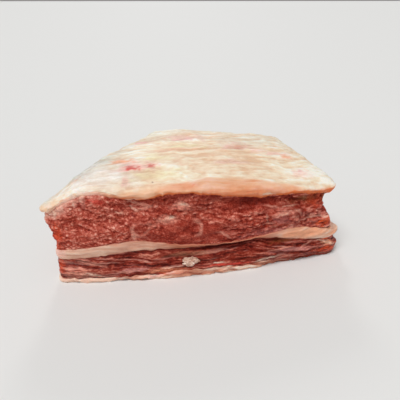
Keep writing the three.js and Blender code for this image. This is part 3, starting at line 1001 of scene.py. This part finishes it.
def flesh(name, look):
    """A material from a layer's tone, veil and marks with painted shading, with grain, bump and gloss of its
    own.
    """
    material = bpy.data.materials.new(name)
    material.use_nodes = True
    tree = material.node_tree
    tree.nodes.clear()
    coords = add(tree, "ShaderNodeTexCoord").outputs["Object"]
    tone = add(tree, "ShaderNodeAttribute", attribute_name="tone").outputs["Fac"]
    veil = add(tree, "ShaderNodeAttribute", attribute_name="veil").outputs["Fac"]
    marks_and_shading = add(tree, "ShaderNodeAttribute", attribute_name="marks_and_shading")
    grain = fine_noise(tree, coords, look["grain"], look["stretch"])
    lively = maths(tree, "MULTIPLY_ADD", grain, look["liveliness"], -0.5 * look["liveliness"])
    colour = ramp(tree, maths(tree, "ADD", tone, lively), look["tones"])
    colour = blend(tree, veil, colour, ramp(tree, maths(tree, "ADD", veil, lively), look["veils"]))
    uneven = blend(tree, 1.0, marks_and_shading.outputs["Color"], maths(tree, "ADD", lively, 1.0), "MULTIPLY")
    colour = blend(tree, marks_and_shading.outputs["Alpha"], colour, uneven)
    bump_height = fine_noise(tree, coords, look["bump_grain"], look["stretch"], detail=4)
    bump_inputs = {"Height": bump_height, "Distance": look["bump"] * MM, "Strength": 1.0}
    bump = add(tree, "ShaderNodeBump", bump_inputs)
    sheen = fine_noise(tree, coords, SHEEN_SIZE, detail=2)
    low, high = look["roughness"]
    gloss = add(tree, "ShaderNodeMapRange", {
        "Value": sheen, "From Min": 0.3, "From Max": 0.7, "To Min": low, "To Max": high})
    shader = add(tree, "ShaderNodeBsdfPrincipled", {
        "Base Color": colour,
        "Roughness": gloss.outputs[0],
        "Normal": bump.outputs["Normal"],
        "Subsurface Weight": look["softness"],
        "Subsurface Radius": look["scatter"],
        "Subsurface Scale": look["depth"] * MM,
        "IOR": 1.4,
        "Specular IOR Level": look["shine"],
    })
    add(tree, "ShaderNodeOutputMaterial", {"Surface": shader.outputs["BSDF"]})
    return material


# How far red, green and blue light spread in fat and in lean, against each other.
FAT_SCATTER = (1, 0.75, 0.55)
LEAN_SCATTER = (1, 0.35, 0.2)

# The size in millimetres of the wetter and drier places.
SHEEN_SIZE = 3

# Each look: the ramps of its tones and its veils, the size and stretch of its grain, how much that
# varies the tone, its bump in millimetres, its roughness, how much and how far light sinks in, and
# its shine.
LOOKS = {
    "fat_cap": dict(
        tones=((0, (226, 188, 155)), (0.35, (237, 212, 183)), (0.7, (243, 228, 203)), (1, (248, 243, 231))),
        veils=((0.3, (240, 172, 122)), (0.9, (224, 116, 60))),
        grain=1.3, stretch=(2.4, 1, 1), liveliness=0.6, bump_grain=1.2, bump=0.45,
        roughness=(0.36, 0.55), softness=0.25, depth=1.5, scatter=FAT_SCATTER, shine=0.5),
    "upper_lean": dict(
        tones=((0, (104, 18, 6)), (0.3, (146, 48, 34)), (0.6, (188, 90, 72)), (1, (240, 164, 144))),
        veils=((0.3, (230, 154, 136)), (0.9, (242, 194, 174))),
        grain=0.8, stretch=(1.3, 1, 1), liveliness=1.15, bump_grain=0.9, bump=0.28,
        roughness=(0.24, 0.42), softness=0.12, depth=1.5, scatter=LEAN_SCATTER, shine=0.15),
    "fat_seam": dict(
        tones=((0, (178, 108, 80)), (0.4, (212, 154, 130)), (0.7, (226, 184, 160)), (1, (238, 212, 192))),
        veils=((0.4, (210, 138, 114)), (1, (188, 104, 80))),
        grain=1, stretch=(4, 1, 1), liveliness=0.5, bump_grain=1.1, bump=0.25,
        roughness=(0.32, 0.52), softness=0.2, depth=1.5, scatter=FAT_SCATTER, shine=0.4),
    "lower_lean": dict(
        tones=((0, (76, 10, 4)), (0.35, (120, 34, 22)), (0.65, (156, 66, 50)), (1, (214, 134, 112))),
        veils=((0.3, (212, 132, 116)), (0.9, (234, 186, 166))),
        grain=0.8, stretch=(2.6, 1, 1), liveliness=1.2, bump_grain=1, bump=0.32,
        roughness=(0.24, 0.44), softness=0.12, depth=1.5, scatter=LEAN_SCATTER, shine=0.16),
    "base_fat": dict(
        tones=((0, (160, 76, 52)), (0.4, (214, 142, 114)), (0.7, (236, 182, 154)), (1, (246, 214, 192))),
        veils=((0.4, (240, 196, 172)), (1, (244, 220, 202))),
        grain=1.2, stretch=(3, 1, 1), liveliness=0.5, bump_grain=1.1, bump=0.4,
        roughness=(0.28, 0.48), softness=0.2, depth=1.5, scatter=FAT_SCATTER, shine=0.4),
    "fat_scrap": dict(
        tones=((0, (112, 62, 46)), (0.5, (196, 150, 128)), (1, (240, 216, 200))),
        veils=((0.4, (232, 202, 182)), (1, (246, 226, 212))),
        grain=1.2, stretch=(1, 1, 1), liveliness=0.4, bump_grain=0.9, bump=0.4,
        roughness=(0.28, 0.48), softness=0.2, depth=1.5, scatter=FAT_SCATTER, shine=0.5),
}


# ---------------- pieces


def set_layer(mesh, name, kind, values):
    attribute = mesh.attributes.new(name, kind, "POINT")
    field = "color" if kind == "FLOAT_COLOR" else "value"
    attribute.data.foreach_set(field, np.asarray(values, np.float32).ravel())


def dress(name, rings, shift):
    """Makes the finished piece for a node: its skin with relief, tones, marks and material."""
    mesh, points, rise = skin_mesh(name, rings)
    high = layer_height(name, points)
    drop = np.where(rise > 1, 0, (1 - rise) * high)
    relief, tone, veil = DETAILS[name](points, rise, drop, high)
    placed = points + vertex_normals(mesh) * relief[:, None] + shift
    placed[:, 2] = np.maximum(placed[:, 2], 0)
    mesh.vertices.foreach_set("co", (placed * MM).ravel())
    set_layer(mesh, "tone", "FLOAT", tone)
    set_layer(mesh, "veil", "FLOAT", veil)
    set_layer(mesh, "marks_and_shading", "FLOAT_COLOR", paint_marks_and_shading(name, points, tone))
    mesh.update()
    mesh.materials.append(flesh(name, LOOKS[name]))
    piece = bpy.data.objects.new("dressed_" + name, mesh)
    bpy.context.collection.objects.link(piece)
    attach(piece, "root")
    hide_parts(name)


def layer_height(name, points):
    if name not in LAYERS:
        return np.full(len(points), SCRAP_WIDTH)
    x, y, _ = points.T
    thickness = boundary_height(LAYERS[name]["over"], x, y) - boundary_height(LAYERS[name]["under"], x, y)
    return np.maximum(thickness, THINNEST)


def scrap_rings():
    """The scrap: a ragged flake whose back follows the lower lean's side."""
    lean = LAYERS["lower_lean"]
    middle = np.array([SCRAP_COLUMN])
    high = rim_points(lean["over"], middle)[0][0, 2] - rim_points(lean["under"], middle)[0][0, 2]
    around = 2 * math.pi * turns_round(SCRAP_SIDES)
    ragged = 1 + sum(depth * np.sin(count * around + phase) for count, depth, phase in SCRAP_LOBES)
    rings = []
    for tilt in np.linspace(0, math.pi, SCRAP_TILTS)[1:-1]:
        spread = ragged * math.sin(tilt)
        along = SCRAP_LENGTH / 2 * spread * np.cos(around)
        up = SCRAP_WIDTH / 2 * spread * np.sin(around)
        turns = SCRAP_COLUMN + along / GIRTH
        out = SCRAP_CLEARANCE + SCRAP_THICKNESS * max(math.cos(tilt), 0)
        _, normal = plan_columns(turns)
        points = np.concatenate([
            side_points(lean, turns[i:i + 1], SCRAP_HEIGHT + up[i] / high) for i in range(len(turns))])
        points[:, :2] += normal * out
        rings.append((points, 0.5))
    return rings


def plan_shift(rings):
    """From the plan's coordinates to the block's frame, whose box is known."""
    points = np.concatenate([points for layer in rings.values() for points, _ in layer])
    middle = (points.min(axis=0) + points.max(axis=0)) / 2
    low, high = (np.array(corner) / MM for corner in CAD_BOX)
    return np.array((*((low + high) / 2 - middle)[:2], 0))


rings = {name: layer_rings(layer) for name, layer in LAYERS.items()}
rings["fat_scrap"] = scrap_rings()
shift = plan_shift(rings)
for name in rings:
    dress(name, rings[name], shift)

# ---------------- stage


# Half the floor's side, in metres.
FLOOR_REACH = 60


def add_floor():
    mesh = bpy.data.meshes.new("floor")
    corners = [(x * FLOOR_REACH, y * FLOOR_REACH, 0) for x, y in ((-1, -1), (1, -1), (1, 1), (-1, 1))]
    mesh.from_pydata(corners, [], [(0, 1, 2, 3)])
    floor = bpy.data.objects.new("floor", mesh)
    bpy.context.collection.objects.link(floor)
    material = bpy.data.materials.new("floor")
    material.use_nodes = True
    shader = material.node_tree.nodes["Principled BSDF"]
    shader.inputs["Base Color"].default_value = (0.78, 0.78, 0.77, 1)
    shader.inputs["Roughness"].default_value = 0.8
    mesh.materials.append(material)


def add_sun(name, place, strength, softness):
    light = bpy.data.lights.new(name, "SUN")
    light.energy = strength
    light.angle = math.radians(softness)
    lamp = bpy.data.objects.new(name, light)
    lamp.rotation_euler = (-Vector(place)).to_track_quat("-Z", "Y").to_euler()
    bpy.context.collection.objects.link(lamp)


# The camera: where it stands in the plan's coordinates, the way it looks, its sensor and lens in
# millimetres, and the nearest that it sees, in metres.
CAMERA_PLACE = np.array([-59.52, -326, 191])
CAMERA_AIM = (0.1768, 0.8889, -0.4226)
CAMERA_SENSOR = 36
CAMERA_LENS = 38.7
CAMERA_NEAREST = 0.01


def add_camera():
    camera = bpy.data.objects.new("camera", bpy.data.cameras.new("camera"))
    camera.location = (CAMERA_PLACE + shift) * MM
    camera.rotation_euler = Vector(CAMERA_AIM).to_track_quat("-Z", "Y").to_euler()
    camera.data.sensor_width = CAMERA_SENSOR
    camera.data.lens = CAMERA_LENS
    camera.data.clip_start = CAMERA_NEAREST
    bpy.context.collection.objects.link(camera)
    bpy.context.scene.camera = camera


def light_scene():
    world = bpy.data.worlds.new("studio")
    world.use_nodes = True
    background = world.node_tree.nodes["Background"]
    background.inputs["Color"].default_value = (1, 0.99, 0.97, 1)
    background.inputs["Strength"].default_value = 0.3
    bpy.context.scene.world = world
    add_sun("key", place=(-0.3, -0.35, 0.88), strength=2.05, softness=30)
    add_sun("front", place=(-0.3, -0.85, 0.5), strength=0.3, softness=8)
    add_sun("back", place=(0.1, 0.85, 0.5), strength=0.4, softness=12)
    bpy.context.scene.view_settings.view_transform = "Standard"


add_floor()
add_camera()
light_scene()
